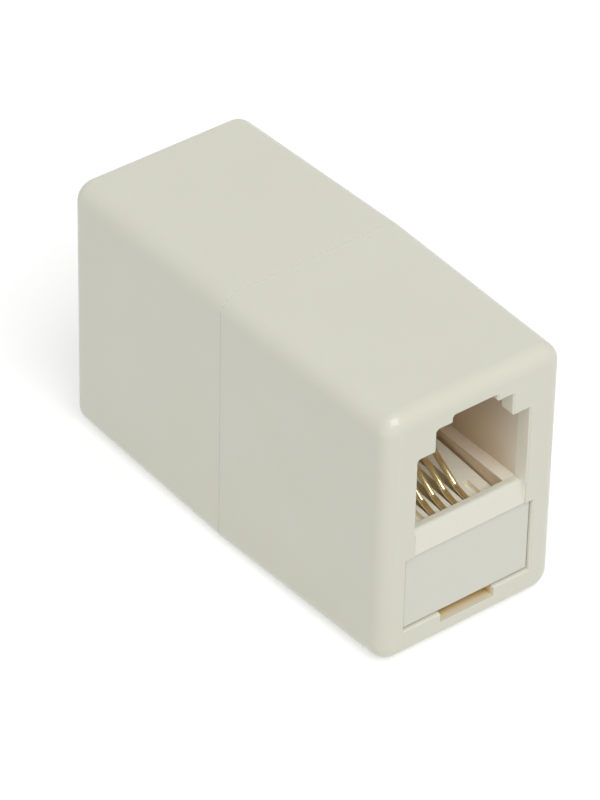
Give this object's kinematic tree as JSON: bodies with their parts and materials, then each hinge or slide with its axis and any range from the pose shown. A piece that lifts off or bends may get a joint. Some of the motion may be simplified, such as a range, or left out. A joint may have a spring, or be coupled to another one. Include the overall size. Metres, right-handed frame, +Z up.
{
  "type": "rj11 inline coupler",
  "caption": "Ivory plastic inline coupler that joins two modular telephone line cords end to end: a stepped jack mouth at each end with gold spring contacts inside.",
  "frame": {"origin": "centre of the underside, half way between the two jack mouths, level with the lowest edge of the seam", "axes": "+Z up, from the release notches to the latch side of the jacks; +Y from the front jack to the rear jack; +X across the contacts"},
  "size_m": [0.0164, 0.0366, 0.0223],
  "materials": {
    "shell_plastic": "moulded ivory plastic, satin gloss",
    "carrier_plastic": "moulded ivory plastic, satin gloss",
    "contact_gold": "gold-plated spring wire, polished"
  },
  "bodies": {
    "root": {"front_shell": "shell_plastic", "rear_shell": "shell_plastic", "contact_carrier": "carrier_plastic", "contact_wire_2": "contact_gold", "contact_wire_3": "contact_gold", "contact_wire_4": "contact_gold", "contact_wire_5": "contact_gold"}
  },
  "joints": []
}
